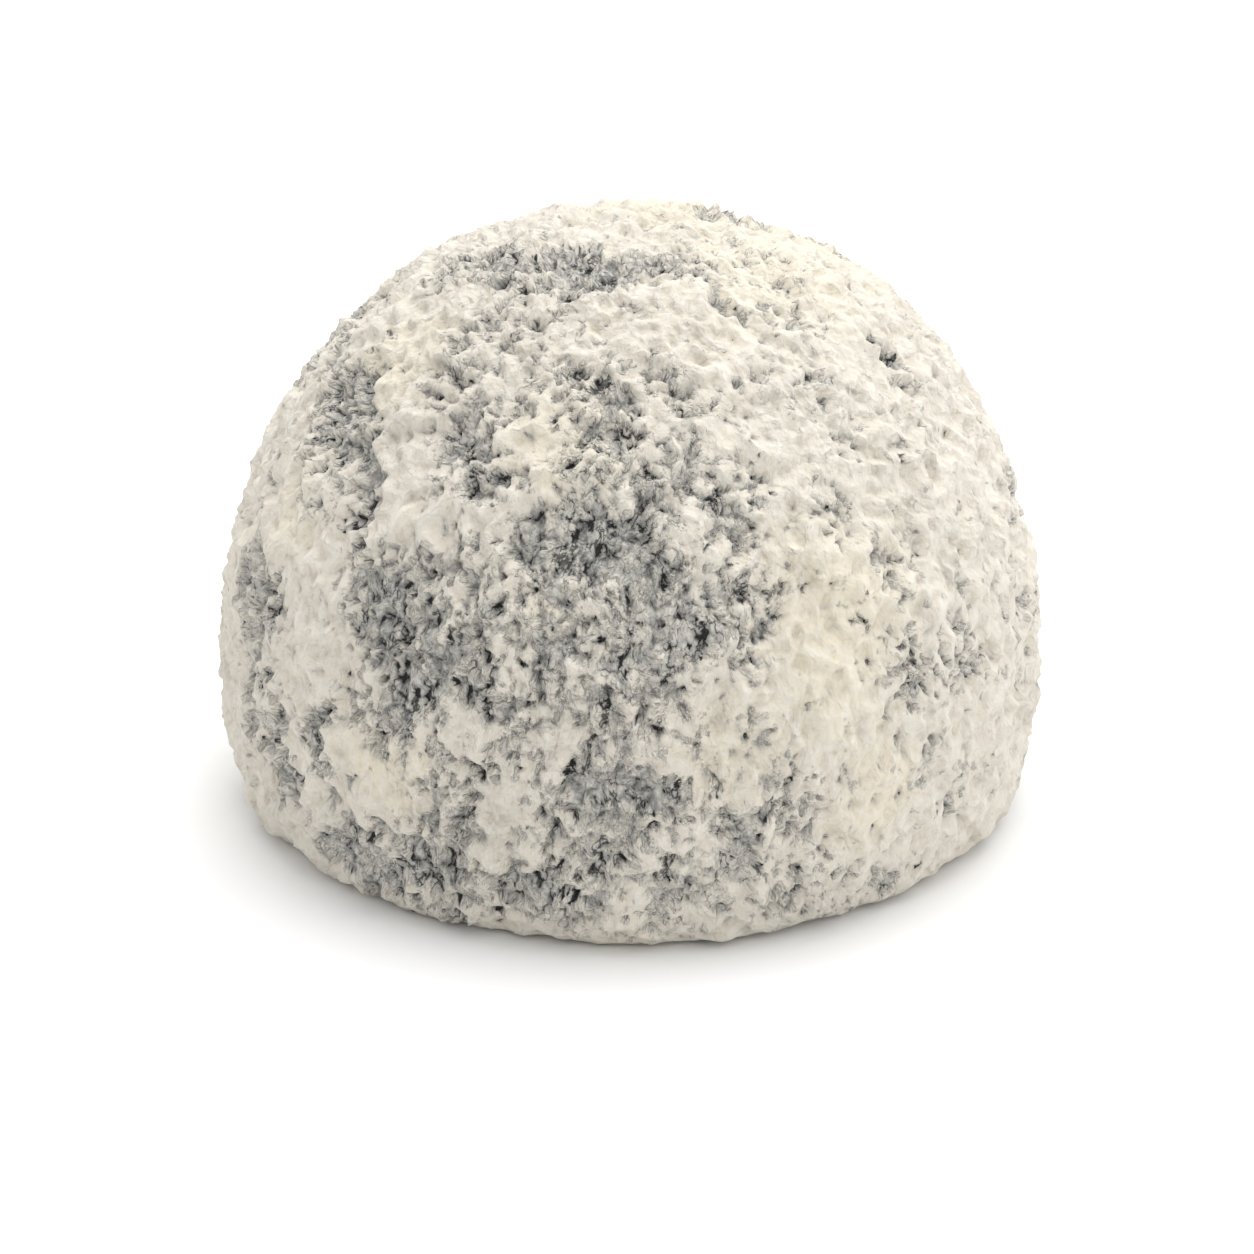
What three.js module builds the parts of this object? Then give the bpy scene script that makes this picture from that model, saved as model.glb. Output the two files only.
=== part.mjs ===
// A domed, ash-coated goat's milk cheese, aged until its rind has wrinkled and sagged a little.
// It is one natural piece: a dome of drained curd that settled on a flat underside while it ripened.
// Lengths are in millimetres and +Z is up. The origin is the centre of the face the cheese rests on.

import * as THREE from "three";
import { ImprovedNoise } from "three/addons/math/ImprovedNoise.js";
import { mergeVertices } from "three/addons/utils/BufferGeometryUtils.js";

// Driving dimensions of the cheese.
const WIDTH = 88; // across the belly, its widest level
const HEIGHT = 65.5; // resting face to crown
const BELLY_HEIGHT = 17.4; // level of the belly above the resting face
const FOOT_WIDTH = 79.5; // across the resting face
const CROWN_FULLNESS = 2.08; // superellipse power of the dome above the belly: 2 is an ellipse, more is fuller
const TUCK_FULLNESS = 1.73; // the same for the tuck under the belly, which is a little slacker

// The unevenness of a hand-ladled cheese: how far apart its rises are, and how high.
const SWELLS = { spacing: 31, rise: 0.6, seed: 4.3 }; // broad settling of the whole dome
const LUMPS = { spacing: 11, rise: 0.6, seed: 17.7 }; // curd lumps under the rind
const PUCKERS = { spacing: 13, rise: 1.5, seed: 9.2, reach: 15 }; // folds of the rind above the resting face

// How finely the skin is divided.
const SUBDIVISIONS = 18; // cuts along each edge of the icosahedron that the skin grows from
const FOOT_SHARE = 0.24; // share of the way from pole to pole that the resting face takes on that icosahedron

const noise = new ImprovedNoise();

// One quarter turn of a superellipse in the half plane of (distance from the axis, height).
class SuperellipseArc extends THREE.Curve {
  constructor(centreRadius, centreHeight, reachOut, reachUp, fullness, startAngle) {
    super();
    Object.assign(this, { centreRadius, centreHeight, reachOut, reachUp, fullness, startAngle });
  }

  getPoint(t, target = new THREE.Vector2()) {
    const angle = this.startAngle + (t * Math.PI) / 2;
    const rounded = (x) => Math.sign(x) * Math.abs(x) ** (2 / this.fullness);
    return target.set(
      this.centreRadius + this.reachOut * rounded(Math.sin(angle)),
      this.centreHeight + this.reachUp * rounded(Math.cos(angle)),
    );
  }
}

// The half section: crown to belly, belly to the rim of the resting face, and in along that face to the axis.
const crown = new SuperellipseArc(0, BELLY_HEIGHT, WIDTH / 2, HEIGHT - BELLY_HEIGHT, CROWN_FULLNESS, 0);
const tuck = new SuperellipseArc(
  FOOT_WIDTH / 2, BELLY_HEIGHT, (WIDTH - FOOT_WIDTH) / 2, BELLY_HEIGHT, TUCK_FULLNESS, Math.PI / 2,
);
const foot = new THREE.LineCurve(new THREE.Vector2(FOOT_WIDTH / 2, 0), new THREE.Vector2(0, 0));
const section = new THREE.CurvePath();
section.add(crown);
section.add(tuck);
section.add(foot);
const skinShare = 1 - foot.getLength() / section.getLength(); // where the rim is along the section

// How far along the section a point of the icosahedron goes, from its angle off the upward pole.
function alongSection(polarAngle) {
  const rimAngle = Math.PI * (1 - FOOT_SHARE);
  if (polarAngle < rimAngle) return (polarAngle / rimAngle) * skinShare;
  return skinShare + ((polarAngle - rimAngle) / (Math.PI - rimAngle)) * (1 - skinShare);
}

// Height of one kind of unevenness at a point, in millimetres above or below the even surface.
function unevenness({ spacing, rise, seed }, point) {
  return rise * noise.noise(point.x / spacing + seed, point.y / spacing - seed, point.z / spacing + seed);
}

// A point of the cheese's skin, grown from a direction on the unit icosahedron.
function skinPoint(direction) {
  const along = alongSection(Math.acos(THREE.MathUtils.clamp(direction.z, -1, 1)));
  const [radius, height] = section.getPoint(along);
  const bearing = new THREE.Vector3(direction.x, direction.y, 0).normalize();
  const even = bearing.clone().multiplyScalar(radius).setZ(height);

  // Swells and lumps push the skin straight out, and fade away towards the resting face.
  const [outward, upward] = section.getTangent(along);
  const normal = bearing.clone().multiplyScalar(-upward).setZ(outward);
  const clearOfFoot = THREE.MathUtils.smoothstep(height, 0, BELLY_HEIGHT / 2);
  const push = (unevenness(SWELLS, even) + unevenness(LUMPS, even)) * clearOfFoot;

  // Puckers push in and out level with the ground, so the resting face stays flat with a wavy rim.
  const rimPoint = bearing.clone().multiplyScalar(FOOT_WIDTH / 2);
  const low = 1 - THREE.MathUtils.smoothstep(height, 0, PUCKERS.reach);
  const pucker = unevenness(PUCKERS, rimPoint) * low * Math.min(1, radius / (FOOT_WIDTH / 2));

  const point = even.addScaledVector(normal, push).addScaledVector(bearing, pucker);
  return point.setZ(Math.max(point.z, 0));
}

// The whole cheese as one closed skin, moved so that its outline is centred over the origin.
function cheeseGeometry() {
  const ball = new THREE.IcosahedronGeometry(1, SUBDIVISIONS);
  ball.deleteAttribute("normal");
  ball.deleteAttribute("uv");
  const skin = mergeVertices(ball);
  const positions = skin.getAttribute("position");
  const direction = new THREE.Vector3();
  for (let i = 0; i < positions.count; i += 1) {
    direction.fromBufferAttribute(positions, i).normalize();
    positions.setXYZ(i, ...skinPoint(direction));
  }
  skin.computeBoundingBox();
  const centre = skin.boundingBox.getCenter(new THREE.Vector3());
  skin.translate(-centre.x, -centre.y, -skin.boundingBox.min.z);
  skin.computeVertexNormals();
  return skin;
}

// The rind: white mould over vegetable ash, dry and dull.
const rind = new THREE.MeshStandardMaterial({ color: 0xcfcbc2, roughness: 0.9, metalness: 0 });

const cheese = new THREE.Mesh(cheeseGeometry(), rind);
cheese.name = "cheese";

const part = new THREE.Group();
part.add(cheese);

export default part;
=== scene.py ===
import math
import random

import bpy
import numpy as np
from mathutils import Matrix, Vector, noise


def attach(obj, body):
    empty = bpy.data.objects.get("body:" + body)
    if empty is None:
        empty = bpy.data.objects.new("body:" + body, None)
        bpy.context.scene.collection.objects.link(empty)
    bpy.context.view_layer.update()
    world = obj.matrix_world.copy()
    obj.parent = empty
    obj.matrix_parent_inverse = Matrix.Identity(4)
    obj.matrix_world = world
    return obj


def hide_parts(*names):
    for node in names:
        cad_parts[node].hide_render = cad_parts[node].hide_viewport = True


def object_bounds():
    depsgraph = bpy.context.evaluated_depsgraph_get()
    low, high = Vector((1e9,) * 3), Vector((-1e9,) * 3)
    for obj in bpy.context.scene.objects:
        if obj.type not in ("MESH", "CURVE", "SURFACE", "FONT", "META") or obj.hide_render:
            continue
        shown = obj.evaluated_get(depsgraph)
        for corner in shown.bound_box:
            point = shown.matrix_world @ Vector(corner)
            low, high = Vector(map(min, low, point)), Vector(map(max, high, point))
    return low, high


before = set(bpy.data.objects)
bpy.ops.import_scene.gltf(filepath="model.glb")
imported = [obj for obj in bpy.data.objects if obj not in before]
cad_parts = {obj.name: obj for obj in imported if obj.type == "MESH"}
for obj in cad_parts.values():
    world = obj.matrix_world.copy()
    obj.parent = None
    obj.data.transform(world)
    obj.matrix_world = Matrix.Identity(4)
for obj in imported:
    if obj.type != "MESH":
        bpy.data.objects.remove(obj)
cad_low, cad_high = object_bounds()


# ---------------------------------------------------------------------------------------------
# The cheese: one dome of goat's milk curd, moulded, drained, rolled in vegetable ash and ripened.
# White mould has grown over the ash as a soft wrinkled coat, one piece with the curd. Where the
# coat is thin or torn, the grey ash and its cracks show.
# ---------------------------------------------------------------------------------------------

MM = 0.001


def add_node(tree, kind, inputs=None, **settings):
    """Adds a node. Inputs maps a socket to a value, to another socket, or to a node's first output."""
    made = tree.nodes.new(kind)
    for name, value in settings.items():
        setattr(made, name, value)
    for name, value in (inputs or {}).items():
        if isinstance(value, bpy.types.Node):
            value = value.outputs[0]
        if isinstance(value, bpy.types.NodeSocket):
            tree.links.new(value, made.inputs[name])
        else:
            made.inputs[name].default_value = value
    return made


def linear(hex_colour):
    """An sRGB hex colour as the linear red, green, blue and alpha that nodes take."""
    channels = [int(hex_colour[i:i + 2], 16) / 255 for i in (1, 3, 5)]
    return [c / 12.92 if c <= 0.04045 else ((c + 0.055) / 1.055) ** 2.4 for c in channels] + [1.0]


# The even skin: the moulded solid's own surface, its facets merged and rounded off.
ROUNDING_LEVELS = 2

skin_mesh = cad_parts["cheese"].data.copy()
skin = bpy.data.objects.new("even_skin", skin_mesh)
bpy.context.scene.collection.objects.link(skin)
weld = skin.modifiers.new("merge the facets", "WELD")
weld.merge_threshold = 0.001 * MM
rounding = skin.modifiers.new("round the facets off", "SUBSURF")
rounding.levels = ROUNDING_LEVELS
rounding.render_levels = ROUNDING_LEVELS
evaluated = skin.evaluated_get(bpy.context.evaluated_depsgraph_get())
even_mesh = bpy.data.meshes.new_from_object(evaluated)
bpy.data.objects.remove(skin)

# Where the ash shows: patches named by place, each a few blots of (bearing in degrees, millimetres down
# the skin from the crown, blot radius in millimetres, how bare the ash is). Bearing 0 is the front, and
# positive bearings are to its right.
ASH_PATCHES = {
    "crown band": [
        (-85, 18, 5, 0.5), (-70, 16, 4, 0.45), (-56, 14, 4.5, 0.65), (-45, 16, 4, 0.45),
        (-35, 11, 4.5, 0.65), (-20, 12, 4.5, 0.65), (-5, 11, 4, 0.9), (14, 11, 3, 0.9), (30, 12, 3, 0.5),
    ],
    "behind the crown": [(126, 12, 3, 0.8), (105, 17, 2.5, 0.5)],
    "streak right of the crown": [(36, 17, 1.8, 0.8), (45, 20, 1.8, 0.8), (54, 23, 1.8, 0.8)],
    "left shoulder": [
        (-62, 38, 3.5, 0.9), (-69, 35, 3.5, 0.8), (-72, 41, 4, 0.35), (-64, 46, 3.5, 0.4),
        (-56, 40, 3, 1.0), (-50, 42, 2.5, 1.0), (-46, 46, 2.5, 0.9), (-44, 49, 2, 0.7), (-54, 47, 4, 0.4),
    ],
    "flecks left of the crown": [(-43, 24, 1.6, 0.7), (-29, 22, 1.6, 0.7), (-31, 32, 1.8, 0.7)],
    "crack to the heart": [
        (-33, 36, 3, 0.6), (-29, 36, 1.5, 0.7), (-25, 41, 3, 0.6), (-20, 39, 1.5, 0.8), (-27, 46, 4, 0.25),
        (-24, 50, 3.5, 0.35),
    ],
    "heart": [
        (-17, 43, 3, 0.8), (-8, 41, 3.5, 0.7), (2, 42, 3.5, 0.5), (10, 41, 3, 0.4), (18, 43, 3, 0.4),
        (-11, 47, 4, 0.8), (-3, 46, 4.5, 0.8), (4, 49, 4.5, 0.8), (11, 51, 4, 0.7), (17, 47, 3.5, 0.6),
        (9, 54, 2.5, 1.0),
    ],
    "left of the heart": [
        (-40, 52, 3.5, 0.65), (-36, 54, 4, 0.8), (-37, 58, 4, 0.9), (-31, 57, 4, 0.9), (-27, 58, 3, 1.0),
        (-27, 62, 3, 0.9), (-21, 62, 2.5, 0.9), (-17, 62, 2, 0.8), (-34, 63, 3.5, 0.9),
    ],
    "under the heart": [(-11, 57, 2.5, 0.9), (-8, 55, 2.5, 0.9), (1, 57, 2, 0.7)],
    "left edge": [(-69, 59, 4, 0.8), (-70, 64, 3.5, 0.7), (-61, 59, 2, 0.6), (-68, 70, 2.5, 0.4)],
    "low left": [
        (-58, 79, 3.5, 0.9), (-66, 76, 3, 0.5), (-48, 70, 2.5, 0.8), (-46, 75, 2.5, 0.8),
        (-44, 79, 2.5, 0.7), (-46, 84, 4, 0.9), (-40, 85, 4, 0.9), (-35, 85, 4, 0.9), (-29, 82, 3.5, 0.9),
        (-26, 77, 3.5, 0.6),
    ],
    "low front": [(-25, 88, 1.6, 1.0), (-16, 83, 2.5, 0.9), (-13, 83, 2, 1.0), (-9, 85, 2.5, 0.9)],
    "below the heart": [
        (-5, 70, 3, 0.7), (1, 72, 3.5, 0.9), (-9, 73, 2.5, 0.8), (7, 72, 2.5, 0.6), (-1, 78, 2, 0.6),
    ],
    "low right of the middle": [
        (15, 75, 4, 0.6), (21, 73, 3.5, 0.5), (26, 80, 4, 0.4), (20, 83, 4, 0.45), (14, 79, 3.5, 0.6),
    ],
    "thin coat over the front": [
        (-41, 25, 6, 0.35), (-14, 23, 7, 0.2), (-31, 33, 6, 0.3), (10, 31, 6, 0.35), (-10, 31, 5, 0.5),
        (0, 36, 5, 0.45), (14, 38, 5, 0.4), (-22, 54, 4, 0.75), (-14, 54, 4, 0.5), (2, 54, 4, 0.5),
        (7, 55, 3, 0.6), (22, 53, 3, 0.45), (17, 55, 4, 0.3), (-21, 59, 4, 0.5), (-7, 61, 6, 0.5),
        (1, 61, 6, 0.35), (7, 59, 5, 0.35), (-37, 66, 5, 0.55), (-59, 72, 4, 0.5), (-27, 72, 5, 0.4),
        (-20, 69, 4, 0.4), (-7, 73, 6, 0.45), (6, 83, 4, 0.4), (-26, 84, 6, 0.4), (-11, 82, 6, 0.7),
        (3, 81, 6, 0.4), (-4, 72, 5, 0.4),
    ],
    "right side": [
        (40, 61, 3, 0.35), (35, 64, 2, 0.4), (51, 63, 4.5, 0.25), (68, 61, 5, 0.15), (80, 65, 4, 0.5),
    ],
    "low right": [(44, 73, 3, 0.45), (49, 79, 3, 0.45), (37, 87, 2.5, 0.8)],
    "right shoulder": [
        (69, 31, 2, 0.9), (54, 33, 1.5, 0.6), (66, 35, 1.6, 0.7), (80, 38, 1.8, 0.7), (82, 45, 2, 0.8),
        (56, 39, 1.8, 0.7), (53, 42, 1.5, 0.5), (36, 34, 2, 0.3),
    ],
}

# The mould coat is richest and most cream-coloured in a few places.
CREAM_PATCHES = [
    (-60, 31, 6, 0.8), (-12, 34, 6, 0.7), (60, 17, 9, 0.5), (31, 53, 8, 1.0), (30, 62, 6, 0.7),
    (35, 74, 5, 0.9), (-35, 72, 5, 0.9), (-64, 50, 5, 0.6), (-12, 52, 3, 0.6), (-1, 87, 4, 0.5),
    (14, 67, 6, 0.6), (76, 17, 7, 0.5),
]

# The far side is like the near one: the same sort of patches, in places of their own.
FAR_SIDE_SEED = 12
FAR_SIDE_BEARINGS = (95, 265)
FAR_SIDE_PATCHES = 18
FAR_SIDE_PATCH_DOWN = (12, 86)
FAR_SIDE_THIN_COAT = {"radius": (7, 11), "strength": (0.3, 0.5)}
FAR_SIDE_BLOTS = {"number": (2, 7), "radius": (1.8, 4.5), "strength": (0.35, 0.75)}
BLOT_STEP_ROUND = (-9, 9)  # from one blot of a patch to the next, in degrees of bearing
BLOT_STEP_DOWN = (-5, 5)
FAR_SIDE_CREAM = 9
FAR_SIDE_CREAM_DOWN = (10, 84)
FAR_SIDE_CREAM_BLOTS = {"radius": (4, 9), "strength": (0.5, 1.0)}

even = np.empty(len(even_mesh.vertices) * 3)
even_mesh.vertices.foreach_get("co", even)
even = even.reshape(-1, 3) / MM


def crown_to_foot(points):
    """The cheese's section, crown to rim: distances down the skin, radii and heights in millimetres."""
    steps = 90
    lowest = 0.05  # just above the resting face
    heights = np.linspace(points[:, 2].max(), lowest, steps)
    radii = []
    band = heights[0] / steps
    out = np.hypot(points[:, 0], points[:, 1])
    for height in heights:
        ring = out[np.abs(points[:, 2] - height) < band]
        radii.append(ring.mean() if len(ring) else 0.0)
    radii[0] = 0.0
    down = np.concatenate([[0], np.cumsum(np.hypot(np.diff(heights), np.diff(radii)))])
    return down, np.array(radii), heights


section_down, section_radius, section_height = crown_to_foot(even)


def on_skin(bearing, down):
    """The point of the even skin at a bearing in degrees and a distance down from the crown."""
    radius = np.interp(down, section_down, section_radius)
    height = np.interp(down, section_down, section_height)
    angle = math.radians(bearing)
    return np.array([radius * math.sin(angle), -radius * math.cos(angle), height])


draw = random.Random(FAR_SIDE_SEED)
far_ash = []
for _ in range(FAR_SIDE_PATCHES):
    bearing = draw.uniform(*FAR_SIDE_BEARINGS)
    down = draw.uniform(*FAR_SIDE_PATCH_DOWN)

    # The coat thins out widely around each patch, and the patch itself is a short run of blots.
    radius = draw.uniform(*FAR_SIDE_THIN_COAT["radius"])
    far_ash.append((bearing, down, radius, draw.uniform(*FAR_SIDE_THIN_COAT["strength"])))
    for _ in range(draw.randint(*FAR_SIDE_BLOTS["number"])):
        radius = draw.uniform(*FAR_SIDE_BLOTS["radius"])
        far_ash.append((bearing, down, radius, draw.uniform(*FAR_SIDE_BLOTS["strength"])))
        bearing += draw.uniform(*BLOT_STEP_ROUND)
        down += draw.uniform(*BLOT_STEP_DOWN)
far_cream = []
for _ in range(FAR_SIDE_CREAM):
    bearing = draw.uniform(*FAR_SIDE_BEARINGS)
    down = draw.uniform(*FAR_SIDE_CREAM_DOWN)
    radius = draw.uniform(*FAR_SIDE_CREAM_BLOTS["radius"])
    far_cream.append((bearing, down, radius, draw.uniform(*FAR_SIDE_CREAM_BLOTS["strength"])))

# Blots run into each other along ragged edges, because the places are first stirred by noise.
BLOT_STIRS = ((5.0, 2.6), (2.5, 1.6), (1.2, 0.9))  # spacing and reach, in millimetres
BLOT_SOFTNESS = 0.8  # less gives blots that fade more widely
STIRS_APART = 100  # each direction is stirred by a noise of its own, from this far along
stirred = even.copy()
for spacing, reach in BLOT_STIRS:
    for axis in range(3):
        apart = Vector((0, 0, STIRS_APART * axis))
        stirred[:, axis] += reach * np.array([noise.noise(Vector(p) / spacing + apart) for p in even])


def painted(blots):
    """How strongly a list of blots covers each vertex, from 0 to 1."""
    clean = np.ones(len(stirred))
    for bearing, down, radius, strength in blots:
        away = np.linalg.norm(stirred - on_skin(bearing, down), axis=1) / radius
        clean *= 1 - strength * np.exp(-BLOT_SOFTNESS * away ** 3)
    return 1 - clean


# A faint veil of ash shows through the coat in broad areas besides.
VEIL_SPACING = 13.0
VEIL_STRENGTH = 0.5
VEIL_SPREAD = 0.12  # more lets the veil cover more of the cheese
veil = np.array([noise.noise(Vector(p) / VEIL_SPACING) for p in even])
veil = VEIL_STRENGTH * np.maximum(0.0, veil + VEIL_SPREAD)
ash = painted([blot for patch in ASH_PATCHES.values() for blot in patch] + far_ash)
ash = 1 - (1 - ash) * (1 - veil)
cream = painted(CREAM_PATCHES + far_cream)
for name, cover in (("ash", ash), ("cream", cream)):
    even_mesh.attributes.new(name, "FLOAT", "POINT").data.foreach_set("value", cover.astype(np.float32))

# How far apart each kind of relief is, in millimetres.
FOLD_SPACING = 2.4  # soft folds of the coat, drawn out down the sides
DIMPLE_SPACING = 1.7  # hollows between the folds
NODULE_SPACING = 1.5  # lumps of bare curd where the coat is thin
GRAIN_SPACING = 0.7  # crumbs on the lumps, and wrinkles on the folds
NAP_SPACING = 0.32  # the nap of the mould, drawn coarser than life so that it shows
CRUMB_SPACING = 1.8  # crumbling of the bare curd, with creases between
SWELL_SPACING = 8.0  # broad unevenness under all of it
DRAPE_SPACING = 5.5  # long folds, where the rind has slipped on the curd
CALM_SPACING = 12.0  # the coat is calmer in some places than in others
DRAWN_OUT = (1.0, 1.0, 0.75)  # the shapes are a little longer down the sides than across

# Stirring makes every shape irregular: spacing and reach, in millimetres. The coat's softer shapes
# take only the wide one.
WIDE_STIR = (4.0, 1.8)
CLOSE_STIRS = ((1.2, 0.45), (0.5, 0.15))

# The coat ends where the painted cover and the ragged noises together pass its edge.
COVER_WEIGHT = 0.85
RAGGED = ((4.5, 1.2), (1.3, 2.2))  # spacing in millimetres, and strength
COAT_EDGE = {"From Min": 0.32, "From Max": 0.74}

# How much of the coat's height its folds and the brims of its dimples make, and how much of the bare
# curd's height its nodules and crumbs make.
FOLD_SHARE = 0.55
BRIM_SHARE = 0.5
NODULE_SHARE = 0.6
CRUMB_SHARE = 0.4

# How each noise becomes a height from 0 to 1.
CREST_SHAPE = {"From Min": 0.15, "From Max": 0.0}
BRIM_SHAPE = {"From Min": 0.1, "From Max": 0.6}
NODULE_SHAPE = {"From Min": 0.85, "From Max": 0.1}
CRUMB_SHAPE = {"From Min": 0.0, "From Max": 0.14}

# The relief is livelier in some places than in others, and calmer where the coat is rich.
LIVELY = {"From Min": 0.3, "From Max": 0.7, "To Min": 1.35, "To Max": 0.85}
RICH_COAT_CALM = {"To Min": 1.0, "To Max": 0.8}


def stirred_place(tree, place, spacing, reach):
    """A place in millimetres, moved about by noise."""
    stir = add_node(tree, "ShaderNodeTexNoise", {"Vector": place, "Scale": 1 / spacing, "Detail": 1.0})
    centred = add_node(
        tree, "ShaderNodeVectorMath", {0: stir.outputs["Color"], 1: (0.5, 0.5, 0.5)},
        operation="SUBTRACT",
    )
    return add_node(
        tree, "ShaderNodeVectorMath", {0: centred, 1: (reach,) * 3, 2: place}, operation="MULTIPLY_ADD",
    )


def rind_pattern(tree, place, ash_cover, cream_cover):
    """The rind's relief as nodes: heights from 0 to 1, how far the coat is off, and how lively it is."""
    mm_place = add_node(tree, "ShaderNodeVectorMath", {0: place, "Scale": 1 / MM}, operation="SCALE")
    drawn_out = add_node(tree, "ShaderNodeVectorMath", {0: mm_place, 1: DRAWN_OUT}, operation="MULTIPLY")
    eased = stirred_place(tree, drawn_out, *WIDE_STIR)
    irregular = eased
    for spacing, reach in CLOSE_STIRS:
        irregular = stirred_place(tree, irregular, spacing, reach)

    # Where the coat ends: a ragged edge through the painted patches.
    edge = add_node(tree, "ShaderNodeMath", {0: ash_cover, 1: COVER_WEIGHT}, operation="MULTIPLY")
    for spacing, strength in RAGGED:
        ragged = add_node(
            tree, "ShaderNodeTexNoise",
            {"Vector": irregular, "Scale": 1 / spacing, "Detail": 3.0, "Roughness": 0.65},
        )
        ragged = add_node(tree, "ShaderNodeMath", {0: ragged, 1: 0.5}, operation="SUBTRACT")
        edge = add_node(tree, "ShaderNodeMath", {0: ragged, 1: strength, 2: edge}, operation="MULTIPLY_ADD")
    bare = add_node(
        tree, "ShaderNodeMapRange", {"Value": edge, **COAT_EDGE}, interpolation_type="SMOOTHSTEP",
    )

    # The coat: soft folds, with dimples between them.
    fold = add_node(
        tree, "ShaderNodeTexNoise",
        {"Vector": eased, "Scale": 1 / FOLD_SPACING, "Detail": 1.5, "Roughness": 0.5},
    )
    fold = add_node(tree, "ShaderNodeMath", {0: fold, 1: 0.5}, operation="SUBTRACT")
    fold = add_node(tree, "ShaderNodeMath", {0: fold}, operation="ABSOLUTE")
    crest = add_node(tree, "ShaderNodeMapRange", {"Value": fold, **CREST_SHAPE})
    dimple = add_node(
        tree, "ShaderNodeTexVoronoi", {"Vector": eased, "Scale": 1 / DIMPLE_SPACING, "Smoothness": 0.25},
        feature="SMOOTH_F1",
    )
    brim = add_node(tree, "ShaderNodeMapRange", {"Value": dimple, **BRIM_SHAPE})
    brim = add_node(tree, "ShaderNodeMath", {0: brim, 1: BRIM_SHARE}, operation="MULTIPLY")
    coat = add_node(tree, "ShaderNodeMath", {0: crest, 1: FOLD_SHARE, 2: brim}, operation="MULTIPLY_ADD")

    # The bare curd: nodules, with creases where it crumbles.
    nodule = add_node(tree, "ShaderNodeTexVoronoi", {"Vector": irregular, "Scale": 1 / NODULE_SPACING})
    nodule = add_node(tree, "ShaderNodeMapRange", {"Value": nodule, **NODULE_SHAPE})
    nodule = add_node(tree, "ShaderNodeMath", {0: nodule, 1: NODULE_SHARE}, operation="MULTIPLY")
    crumbs = add_node(
        tree, "ShaderNodeTexNoise",
        {"Vector": irregular, "Scale": 1 / CRUMB_SPACING, "Detail": 3.0, "Roughness": 0.65},
    )
    crumbs = add_node(tree, "ShaderNodeMath", {0: crumbs, 1: 0.5}, operation="SUBTRACT")
    crease = add_node(tree, "ShaderNodeMath", {0: crumbs}, operation="ABSOLUTE")
    crumb = add_node(tree, "ShaderNodeMapRange", {"Value": crease, **CRUMB_SHAPE})
    curd = add_node(
        tree, "ShaderNodeMath", {0: crumb, 1: CRUMB_SHARE, 2: nodule}, operation="MULTIPLY_ADD",
    )
    lumps = add_node(tree, "ShaderNodeMix", {0: bare, 2: coat, 3: curd}, data_type="FLOAT")

    # Livelier relief in some places, calmer in others.
    calm = add_node(
        tree, "ShaderNodeTexNoise", {"Vector": mm_place, "Scale": 1 / CALM_SPACING, "Detail": 1.0},
    )
    lively = add_node(tree, "ShaderNodeMapRange", {"Value": calm, **LIVELY})
    rich = add_node(tree, "ShaderNodeMapRange", {"Value": cream_cover, **RICH_COAT_CALM})
    lively = add_node(tree, "ShaderNodeMath", {0: lively, 1: rich}, operation="MULTIPLY")
    return {
        "place": mm_place, "irregular": irregular, "lumps": lumps, "bare": bare, "edge": edge,
        "lively": lively, "crease": crease,
    }


# The relief's heights, in millimetres.
RELIEF = {
    "Coat thickness": 0.7,
    "Coat relief": 0.8,
    "Bare relief": 1.15,
    "Swell height": 1.4,
    "Drape height": 0.9,
}
DRAPE_SHAPE = {"From Min": 0.12, "From Max": 0.0, "To Min": -0.3, "To Max": 0.7}
PRESSED = 3.0  # how far above the resting face the rind is pressed, in millimetres

rind_tree = bpy.data.node_groups.new("wrinkled rind", "GeometryNodeTree")
rind_tree.is_modifier = True
rind_tree.interface.new_socket("Geometry", in_out="INPUT", socket_type="NodeSocketGeometry")
rind_tree.interface.new_socket("Geometry", in_out="OUTPUT", socket_type="NodeSocketGeometry")
for name in RELIEF:
    rind_tree.interface.new_socket(name, in_out="INPUT", socket_type="NodeSocketFloat")
rind_tree.interface.new_socket("Rind", in_out="INPUT", socket_type="NodeSocketMaterial")

given = add_node(rind_tree, "NodeGroupInput")
place = add_node(rind_tree, "GeometryNodeInputPosition")
kept = add_node(
    rind_tree, "GeometryNodeStoreNamedAttribute",
    {"Geometry": given.outputs["Geometry"], "Name": "even_place", "Value": place},
    data_type="FLOAT_VECTOR", domain="POINT",
)
ash_there = add_node(rind_tree, "GeometryNodeInputNamedAttribute", {"Name": "ash"}, data_type="FLOAT")
cream_there = add_node(rind_tree, "GeometryNodeInputNamedAttribute", {"Name": "cream"}, data_type="FLOAT")
pattern = rind_pattern(rind_tree, place, ash_there, cream_there)
bare = pattern["bare"]
relief = add_node(
    rind_tree, "ShaderNodeMapRange",
    {"Value": bare, "To Min": given.outputs["Coat relief"], "To Max": given.outputs["Bare relief"]},
)
relief = add_node(rind_tree, "ShaderNodeMath", {0: relief, 1: pattern["lively"]}, operation="MULTIPLY")
about_middle = add_node(rind_tree, "ShaderNodeMath", {0: pattern["lumps"], 1: 0.5}, operation="SUBTRACT")
rise = add_node(rind_tree, "ShaderNodeMath", {0: about_middle, 1: relief}, operation="MULTIPLY")
on_or_off = add_node(rind_tree, "ShaderNodeMath", {0: 0.5, 1: bare}, operation="SUBTRACT")
rise = add_node(
    rind_tree, "ShaderNodeMath", {0: on_or_off, 1: given.outputs["Coat thickness"], 2: rise},
    operation="MULTIPLY_ADD",
)
swell = add_node(
    rind_tree, "ShaderNodeTexNoise",
    {"Vector": pattern["place"], "Scale": 1 / SWELL_SPACING, "Detail": 1.0},
)
swell = add_node(rind_tree, "ShaderNodeMath", {0: swell, 1: 0.5}, operation="SUBTRACT")
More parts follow.
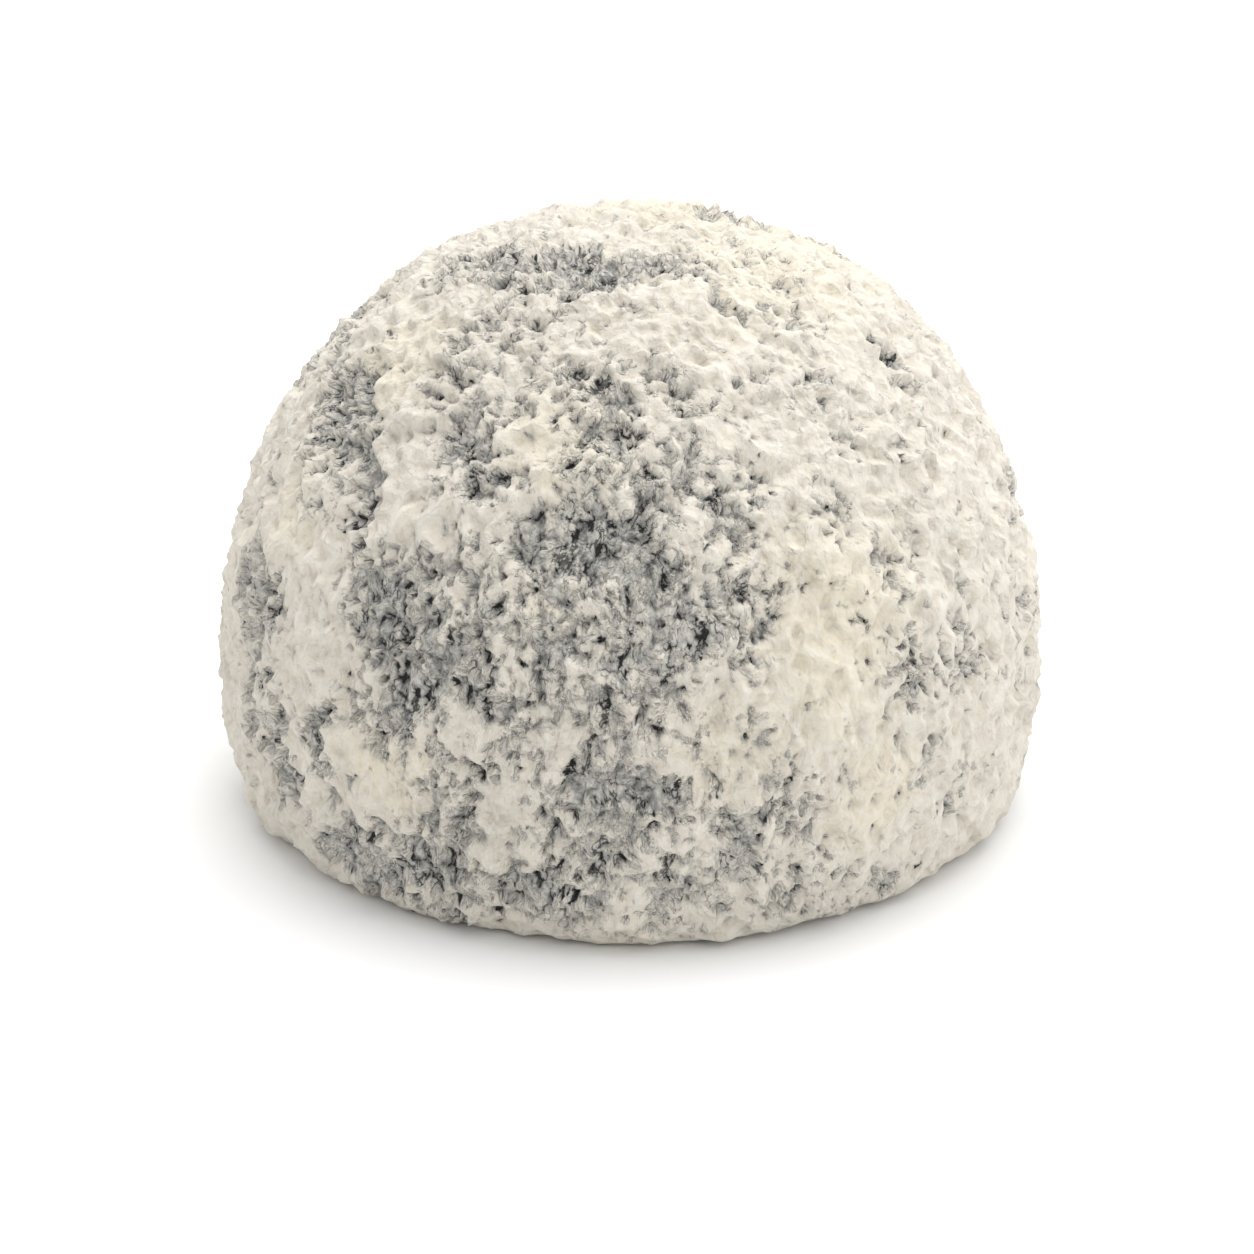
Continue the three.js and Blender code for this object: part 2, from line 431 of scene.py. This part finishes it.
drape = add_node(
    rind_tree, "ShaderNodeTexNoise",
    {"Vector": pattern["irregular"], "Scale": 1 / DRAPE_SPACING, "Detail": 1.0},
)
drape = add_node(rind_tree, "ShaderNodeMath", {0: drape, 1: 0.5}, operation="SUBTRACT")
drape = add_node(rind_tree, "ShaderNodeMath", {0: drape}, operation="ABSOLUTE")
drape = add_node(rind_tree, "ShaderNodeMapRange", {"Value": drape, **DRAPE_SHAPE})
rise = add_node(
    rind_tree, "ShaderNodeMath", {0: drape, 1: given.outputs["Drape height"], 2: rise},
    operation="MULTIPLY_ADD",
)
rise = add_node(
    rind_tree, "ShaderNodeMath", {0: swell, 1: given.outputs["Swell height"], 2: rise},
    operation="MULTIPLY_ADD",
)

# The foot stays pressed flat: just above it the relief only pushes level with the ground.
axes = add_node(rind_tree, "ShaderNodeSeparateXYZ", {0: place})
clear = add_node(
    rind_tree, "ShaderNodeMapRange",
    {"Value": axes.outputs["Z"], "From Min": 0.0, "From Max": PRESSED * MM},
    interpolation_type="SMOOTHSTEP",
)
rise = add_node(rind_tree, "ShaderNodeMath", {0: rise, 1: MM}, operation="MULTIPLY")
outward = add_node(rind_tree, "GeometryNodeInputNormal")
shift = add_node(rind_tree, "ShaderNodeVectorMath", {0: outward, "Scale": rise}, operation="SCALE")
levels = add_node(rind_tree, "ShaderNodeCombineXYZ", {0: 1.0, 1: 1.0, 2: clear})
shift = add_node(rind_tree, "ShaderNodeVectorMath", {0: shift, 1: levels}, operation="MULTIPLY")
moved = add_node(rind_tree, "GeometryNodeSetPosition", {"Geometry": kept, "Offset": shift})
smooth = add_node(rind_tree, "GeometryNodeSetShadeSmooth", {"Geometry": moved})
real = add_node(rind_tree, "GeometryNodeRealizeInstances", {"Geometry": smooth})
dressed = add_node(
    rind_tree, "GeometryNodeSetMaterial", {"Geometry": real, "Material": given.outputs["Rind"]},
)
add_node(rind_tree, "NodeGroupOutput", {"Geometry": dressed})

# Ripened rind: white mould over vegetable ash. It is dry and dull, with a soft bloom; the coat is cream,
# with a painted highlight on its crests and painted shade in its hollows, the thinly covered ash is grey,
# and the bottoms of its pits and cracks are nearly black: dark ash deepened with painted shade.
rind = bpy.data.materials.new("mould_ripened_ash_rind")
rind.use_nodes = True
rind_look = rind.node_tree
rind_look.nodes.clear()
even_place = add_node(rind_look, "ShaderNodeAttribute", attribute_name="even_place")
ash_cover = add_node(rind_look, "ShaderNodeAttribute", attribute_name="ash").outputs["Fac"]
cream_cover = add_node(rind_look, "ShaderNodeAttribute", attribute_name="cream").outputs["Fac"]
look = rind_pattern(rind_look, even_place.outputs["Vector"], ash_cover, cream_cover)

# Colours, and the sizes and weights of what they follow.
COAT_WHITE = "#DCD5C8"
COAT_CREAM = "#E0D7C3"
# The next two colours are a painted highlight for the coat's crests and painted shade for its hollows.
COAT_PAINTED_HIGHLIGHT = "#E4E1D9"
COAT_PAINTED_SHADE = "#B0A591"
ASH_STOPS = ((0.1, "#DEDBD3"), (0.4, "#B9B7B1"), (0.65, "#898784"), (0.95, "#525150"))
# Nearly black for the pits and cracks: dark ash, deepened with painted shade.
PIT_ASH_AND_SHADE_BLACK = "#2A2928"
MOTTLE_SPACING = 0.7  # wisps and blotches, in millimetres
BROKEN_SPACING = 3.0  # what breaks the pits and cracks up
MIDDLE_HEIGHT = 0.45  # of all the relief together, from 0 to 1
HEIGHT_SHARES = {"lumps": 0.5, "grain": 0.4, "mottle": 0.6, "nap": 0.3}
ASH_TONE_SHARES = {"edge": 0.32, "mottle": 1.3, "nap": 0.6, "depth": 1.15}
PALEST_ASH_TONE = 0.04
# Where the painted shade in the hollows and the painted highlight on the crests begin and end, by height.
HOLLOW_PAINTED_SHADE = {"From Min": MIDDLE_HEIGHT, "From Max": 0.05, "To Max": 0.4}
CREST_PAINTED_HIGHLIGHT = {"From Min": MIDDLE_HEIGHT, "From Max": 0.8, "To Max": 0.5}
DEPTH_IN_THIN_COAT = 1.3  # how much sooner the ash shows in hollows than on tips
THIN_COAT = {"From Min": 0.16, "From Max": 0.96}
PIT_SHARES = {"broken": 0.6, "bare": 0.18}
PIT_EDGE = {"From Min": 0.72, "From Max": 0.8}
CRACK_WIDTH = {"From Min": 0.47, "From Max": 0.7, "To Min": 0.0, "To Max": 0.04}
CRACK_SOFTNESS = 0.008
# How dark the cracks' dark ash and painted shade are.
CRACK_ASH_AND_SHADE_DARKNESS = 0.75

# Heights of the relief that is too fine for the mesh, in millimetres: on the coat, and on bare curd.
FINE_HEIGHTS = {"grain": (0.12, 0.5), "nap": (0.15, 0.35), "mottle": (0.24, 0.5), "lumps": (0.36, 0.85)}
PIT_FALL = 0.35

grain = add_node(
    rind_look, "ShaderNodeTexVoronoi", {"Vector": look["irregular"], "Scale": 1 / GRAIN_SPACING},
)
grain = add_node(rind_look, "ShaderNodeMapRange", {"Value": grain, **NODULE_SHAPE})
nap = add_node(
    rind_look, "ShaderNodeTexNoise",
    {"Vector": look["irregular"], "Scale": 1 / NAP_SPACING, "Detail": 3.0, "Roughness": 0.65},
)
nap = add_node(rind_look, "ShaderNodeMath", {0: nap, 1: 0.5}, operation="SUBTRACT")
mottle = add_node(
    rind_look, "ShaderNodeTexNoise",
    {"Vector": look["irregular"], "Scale": 1 / MOTTLE_SPACING, "Detail": 4.0, "Roughness": 0.7},
)
mottle = add_node(rind_look, "ShaderNodeMath", {0: mottle, 1: 0.5}, operation="SUBTRACT")

# Height from 0 to 1 over all the sizes together, and depth below the middle.
uneven = {"lumps": look["lumps"], "grain": grain, "mottle": mottle, "nap": nap, "edge": look["edge"]}
height = 0.0
for name, share in HEIGHT_SHARES.items():
    height = add_node(
        rind_look, "ShaderNodeMath", {0: uneven[name], 1: share, 2: height}, operation="MULTIPLY_ADD",
    )
depth = add_node(rind_look, "ShaderNodeMath", {0: MIDDLE_HEIGHT, 1: height}, operation="SUBTRACT")
uneven["depth"] = depth

# The coat: white to cream, with a painted highlight on its crests and beige painted shade in its hollows.
coat_colour = add_node(
    rind_look, "ShaderNodeMix", {0: cream_cover, 6: linear(COAT_WHITE), 7: linear(COAT_CREAM)},
    data_type="RGBA",
)
# Painted shade: the coat darkens to beige towards the bottoms of its hollows.
painted_hollow_shade = add_node(rind_look, "ShaderNodeMapRange", {"Value": height, **HOLLOW_PAINTED_SHADE})
coat_colour = add_node(
    rind_look, "ShaderNodeMix", {0: painted_hollow_shade, 6: coat_colour.outputs[2], 7: linear(COAT_PAINTED_SHADE)},
    data_type="RGBA",
)
# Painted highlight: the coat lightens towards the tops of its crests.
painted_crest_highlight = add_node(rind_look, "ShaderNodeMapRange", {"Value": height, **CREST_PAINTED_HIGHLIGHT})
coat_colour = add_node(
    rind_look, "ShaderNodeMix", {0: painted_crest_highlight, 6: coat_colour.outputs[2], 7: linear(COAT_PAINTED_HIGHLIGHT)},
    data_type="RGBA",
)

# The ash: mottled greys, palest on the tips.
ash_tone = PALEST_ASH_TONE
for name, share in ASH_TONE_SHARES.items():
    ash_tone = add_node(
        rind_look, "ShaderNodeMath", {0: uneven[name], 1: share, 2: ash_tone}, operation="MULTIPLY_ADD",
    )
ash_ramp = add_node(rind_look, "ShaderNodeValToRGB", {0: ash_tone})
ramp = ash_ramp.color_ramp
ramp.elements.remove(ramp.elements[1])
ramp.elements[0].position = ASH_STOPS[0][0]
ramp.elements[0].color = linear(ASH_STOPS[0][1])
for stop, hex_colour in ASH_STOPS[1:]:
    ramp.elements.new(stop).color = linear(hex_colour)
thin = add_node(
    rind_look, "ShaderNodeMath", {0: depth, 1: DEPTH_IN_THIN_COAT, 2: look["edge"]},
    operation="MULTIPLY_ADD",
)
thin = add_node(
    rind_look, "ShaderNodeMapRange", {"Value": thin, **THIN_COAT}, interpolation_type="SMOOTHSTEP",
)
rind_colour = add_node(
    rind_look, "ShaderNodeMix", {0: thin, 6: coat_colour.outputs[2], 7: ash_ramp}, data_type="RGBA",
)

# Pits and cracks, nearly black: dark ash deepened with painted shade, in the lowest places in the ash and
# along broken lines between the nodules.
broken = add_node(
    rind_look, "ShaderNodeTexNoise",
    {"Vector": look["irregular"], "Scale": 1 / BROKEN_SPACING, "Detail": 2.0},
)
pit_depth = add_node(
    rind_look, "ShaderNodeMath", {0: broken, 1: PIT_SHARES["broken"], 2: depth}, operation="MULTIPLY_ADD",
)
pit_depth = add_node(
    rind_look, "ShaderNodeMath", {0: look["bare"], 1: PIT_SHARES["bare"], 2: pit_depth},
    operation="MULTIPLY_ADD",
)
pits_dark_ash_and_shade = add_node(
    rind_look, "ShaderNodeMapRange", {"Value": pit_depth, **PIT_EDGE}, interpolation_type="SMOOTHSTEP",
)
crack_reach = add_node(rind_look, "ShaderNodeMapRange", {"Value": broken, **CRACK_WIDTH})
cracks_dark_ash_and_shade = add_node(rind_look, "ShaderNodeMath", {0: crack_reach, 1: look["crease"]}, operation="SUBTRACT")
cracks_dark_ash_and_shade = add_node(
    rind_look, "ShaderNodeMapRange",
    {"Value": cracks_dark_ash_and_shade, "From Min": -CRACK_SOFTNESS, "From Max": CRACK_SOFTNESS},
)
cracks_dark_ash_and_shade = add_node(rind_look, "ShaderNodeMath", {0: cracks_dark_ash_and_shade, 1: look["bare"]}, operation="MULTIPLY")
cracks_dark_ash_and_shade = add_node(rind_look, "ShaderNodeMath", {0: cracks_dark_ash_and_shade, 1: CRACK_ASH_AND_SHADE_DARKNESS}, operation="MULTIPLY")
pits_dark_ash_and_shade = add_node(rind_look, "ShaderNodeMath", {0: pits_dark_ash_and_shade, 1: cracks_dark_ash_and_shade}, operation="MAXIMUM")
# Dark ash and painted shade at the bottoms of the pits and cracks.
rind_colour = add_node(
    rind_look, "ShaderNodeMix", {0: pits_dark_ash_and_shade, 6: rind_colour.outputs[2], 7: linear(PIT_ASH_AND_SHADE_BLACK)},
    data_type="RGBA",
)

# Relief too fine for the mesh: crumbs, wrinkles, pits and nap.
fine = 0.0
for name, (on_coat, on_curd) in FINE_HEIGHTS.items():
    share = add_node(
        rind_look, "ShaderNodeMapRange", {"Value": look["bare"], "To Min": on_coat, "To Max": on_curd},
    )
    fine = add_node(
        rind_look, "ShaderNodeMath", {0: uneven[name], 1: share, 2: fine}, operation="MULTIPLY_ADD",
    )
fine = add_node(rind_look, "ShaderNodeMath", {0: fine, 1: look["lively"]}, operation="MULTIPLY")
fine = add_node(rind_look, "ShaderNodeMath", {0: pits_dark_ash_and_shade, 1: -PIT_FALL, 2: fine}, operation="MULTIPLY_ADD")
fine_bump = add_node(rind_look, "ShaderNodeBump", {"Height": fine, "Distance": MM, "Strength": 1.0})
surface = add_node(
    rind_look, "ShaderNodeBsdfPrincipled",
    {
        "Base Color": rind_colour.outputs[2],
        "Roughness": 0.85,
        "Normal": fine_bump,
        "Specular IOR Level": 0.25,
        "Subsurface Weight": 0.1,
        "Subsurface Scale": 0.6 * MM,
        "Subsurface Radius": (1.0, 0.85, 0.65),
        "Sheen Weight": 0.1,
    },
)
add_node(rind_look, "ShaderNodeOutputMaterial", {"Surface": surface})

# The rind laid flat for its colour map: the dome as one disc, opened out around its crown, and the foot
# as another.
DOME_SPOT = (0.41, 0.59)
DOME_REACH = 0.39
DOME_HEART = 17.4  # height in millimetres of the point on the axis that the dome is opened out from
FOOT_SPOT = (0.83, 0.17)
FOOT_REACH = 0.15
FOOT_LIFT = 0.02  # a face is the foot's while no corner is higher than this, in millimetres
NEARLY_NOTHING = 1e-6
flat_map = even_mesh.uv_layers.new(name="OFBake")
corner_vertex = np.empty(len(even_mesh.loops), dtype=np.int32)
even_mesh.loops.foreach_get("vertex_index", corner_vertex)
corner_place = even[corner_vertex]
corners_of_face = np.empty(len(even_mesh.polygons), dtype=np.int32)
even_mesh.polygons.foreach_get("loop_total", corners_of_face)
first_corner = np.concatenate([[0], np.cumsum(corners_of_face)[:-1]])
face_top = np.maximum.reduceat(corner_place[:, 2], first_corner)
under = np.repeat(face_top < FOOT_LIFT, corners_of_face)
out = np.hypot(corner_place[:, 0], corner_place[:, 1])
turned = np.arctan2(out, corner_place[:, 2] - DOME_HEART)
turned_at_rim = math.atan2(section_radius[-1], section_height[-1] - DOME_HEART)
in_foot = FOOT_REACH * out / section_radius[-1]
in_dome = DOME_REACH * turned / turned_at_rim
from_spot = np.where(under, in_foot, in_dome)[:, None]
spot = np.where(under[:, None], FOOT_SPOT, DOME_SPOT)
outwards = corner_place[:, :2] / np.maximum(out, NEARLY_NOTHING)[:, None]
flat_map.data.foreach_set("uv", (spot + from_spot * outwards).astype(np.float32).ravel())

# The finished cheese: the tree's result as a plain mesh, standing for the moulded solid.
cheese = bpy.data.objects.new("rind", even_mesh)
bpy.context.scene.collection.objects.link(cheese)
growth = cheese.modifiers.new("wrinkled rind", "NODES")
growth.node_group = rind_tree
for item in rind_tree.interface.items_tree:
    if item.in_out == "INPUT" and item.name in RELIEF:
        growth[item.identifier] = RELIEF[item.name]
    if item.in_out == "INPUT" and item.name == "Rind":
        growth[item.identifier] = rind
evaluated = cheese.evaluated_get(bpy.context.evaluated_depsgraph_get())
grown_mesh = bpy.data.meshes.new_from_object(evaluated)
cheese.modifiers.remove(growth)
cheese.data = grown_mesh

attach(cheese, "root")
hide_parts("cheese")


# ---------------------------------------------------------------------------------------------
# The studio: a plain white floor that runs back out of sight under a white sky, which is brighter
# behind on the right, with one large soft light almost overhead.
# ---------------------------------------------------------------------------------------------

FLOOR_HALF_WIDTH = 20.0
PAPER_WHITE = "#F2F2F2"
floor_mesh = bpy.data.meshes.new("floor")
quarters = ((-1, -1), (1, -1), (1, 1), (-1, 1))
corners = [(x * FLOOR_HALF_WIDTH, y * FLOOR_HALF_WIDTH, 0) for x, y in quarters]
floor_mesh.from_pydata(corners, [], [(0, 1, 2, 3)])
floor = bpy.data.objects.new("floor", floor_mesh)
bpy.context.scene.collection.objects.link(floor)

# Matte white background paper, without any shine.
paper = bpy.data.materials.new("matte_white_paper")
paper.use_nodes = True
paper_surface = paper.node_tree.nodes["Principled BSDF"]
paper_surface.inputs["Base Color"].default_value = linear(PAPER_WHITE)
paper_surface.inputs["Roughness"].default_value = 0.9
paper_surface.inputs["Specular IOR Level"].default_value = 0.0
floor_mesh.materials.append(paper)

# A white sky, brighter on one side. The camera sees it as plain white.
SKY_STRENGTH = 0.94
SKY_GRADIENT = 0.5
SKY_BRIGHT_SIDE = (0.6, 0.65, 0.46)
sky = bpy.data.worlds.new("white studio")
sky.use_nodes = True
air = sky.node_tree
backdrop = air.nodes["Background"]
looking = add_node(air, "ShaderNodeTexCoord")
bright_side = add_node(
    air, "ShaderNodeVectorMath",
    {0: looking.outputs["Generated"], 1: Vector(SKY_BRIGHT_SIDE).normalized()}, operation="DOT_PRODUCT",
)
glow = add_node(
    air, "ShaderNodeMath", {0: bright_side.outputs["Value"], 1: SKY_GRADIENT, 2: SKY_STRENGTH},
    operation="MULTIPLY_ADD",
)
seen = add_node(air, "ShaderNodeLightPath")
strength = add_node(
    air, "ShaderNodeMix", {0: seen.outputs["Is Camera Ray"], 2: glow, 3: 1.0}, data_type="FLOAT",
)
air.links.new(strength.outputs[0], backdrop.inputs["Strength"])
backdrop.inputs["Color"].default_value = (1, 1, 1, 1)
bpy.context.scene.world = sky

# The middle of the cheese, which the soft light and the camera are placed from.
middle = Vector((0, 0, (cad_low.z + cad_high.z) / 2))


def towards(bearing, elevation):
    """The direction from the cheese to a place at a bearing and an elevation in degrees."""
    b, e = math.radians(bearing), math.radians(elevation)
    return Vector((math.sin(b) * math.cos(e), -math.cos(b) * math.cos(e), math.sin(e)))


# The soft light, almost overhead.
KEY_BEARING = 150
KEY_ELEVATION = 80
KEY_DISTANCE = 0.9
KEY_SIZE = 0.8
KEY_POWER = 5.1
key = bpy.data.lights.new("softbox", "AREA")
key.size = KEY_SIZE
key.energy = KEY_POWER
key_light = bpy.data.objects.new("softbox", key)
key_light.location = middle + towards(KEY_BEARING, KEY_ELEVATION) * KEY_DISTANCE
key_light.rotation_euler = towards(KEY_BEARING, KEY_ELEVATION).to_track_quat("Z", "Y").to_euler()
bpy.context.scene.collection.objects.link(key_light)

bpy.context.scene.view_settings.view_transform = "Standard"


# ---------------------------------------------------------------------------------------------
# The camera: a long lens looking slightly down at the front.
# ---------------------------------------------------------------------------------------------

CAMERA_DISTANCE = 0.704
CAMERA_ELEVATION = 22
SENSOR_WIDTH = 36.0
PICTURE_WIDTH = 0.1367  # what the picture takes in at the cheese
AIM_BELOW_MIDDLE = 0.0124
AIM_LEFT = 0.0003

lens = bpy.data.cameras.new("camera")
lens.sensor_width = SENSOR_WIDTH
lens.lens = SENSOR_WIDTH * CAMERA_DISTANCE / PICTURE_WIDTH
camera = bpy.data.objects.new("camera", lens)
camera.location = middle + towards(0, CAMERA_ELEVATION) * CAMERA_DISTANCE
picture_up = towards(0, CAMERA_ELEVATION + 90)
aim = middle - picture_up * AIM_BELOW_MIDDLE - Vector((AIM_LEFT, 0, 0))
camera.rotation_euler = (camera.location - aim).to_track_quat("Z", "Y").to_euler()
bpy.context.scene.collection.objects.link(camera)
bpy.context.scene.camera = camera
